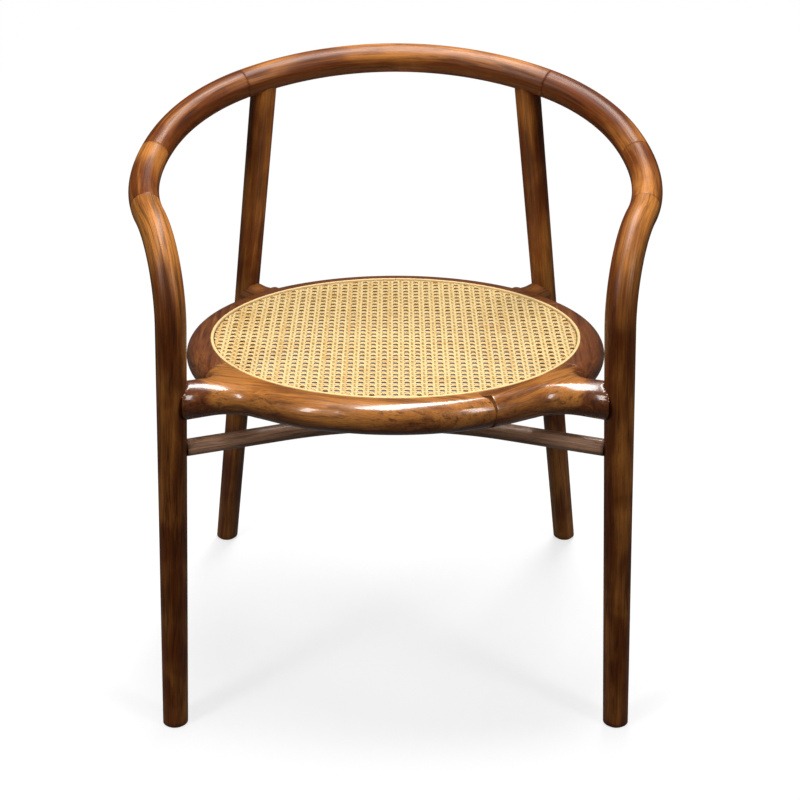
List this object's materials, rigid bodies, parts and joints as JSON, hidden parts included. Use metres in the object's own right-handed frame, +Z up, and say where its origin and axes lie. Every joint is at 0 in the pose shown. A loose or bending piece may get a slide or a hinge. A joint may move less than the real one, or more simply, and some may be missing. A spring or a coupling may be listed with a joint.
{
  "type": "horseshoe back armchair",
  "caption": "Armchair whose round wooden hoop is back, arms and front legs in one line, with splayed rear legs and a round woven cane seat.",
  "frame": {"origin": "on the floor, midway between the front edge of the seat frame and the back of the rear feet, on the chair's centre line", "axes": "+Z up, +X towards the right side seen from the front, the front of the chair faces -Y"},
  "size_m": [0.5936, 0.5494, 0.734],
  "materials": {
    "hoop_wood": "semi-gloss brown lacquer over figured hardwood",
    "leg_wood": "semi-gloss dark brown lacquer over figured hardwood",
    "frame_wood": "semi-gloss amber brown lacquer over figured hardwood",
    "cane": "natural split rattan, satin",
    "bead": "natural rattan reed, satin",
    "dowel": "plain beech",
    "glide": "black nylon"
  },
  "bodies": {
    "root": {"crest_rail": "hoop_wood", "left_arm": "hoop_wood", "right_arm": "hoop_wood", "left_elbow": "hoop_wood", "right_elbow": "hoop_wood", "left_front_leg": "hoop_wood", "right_front_leg": "hoop_wood", "left_rear_leg": "leg_wood", "right_rear_leg": "leg_wood", "seat_frame_front_left": "frame_wood", "seat_frame_front_right": "frame_wood", "seat_frame_left": "frame_wood", "seat_frame_right": "frame_wood", "seat_frame_rear": "frame_wood", "cane_side_strands": "cane", "cane_front_to_back_strands": "cane", "cane_left_diagonals": "cane", "cane_right_diagonals": "cane", "cane_spline": "bead", "front_stretcher": "leg_wood", "rail_joint_dowels": "dowel", "front_lug_dowels": "dowel", "rear_lug_dowels": "dowel", "seat_frame_tenons": "dowel", "foot_glides": "glide"}
  },
  "joints": []
}
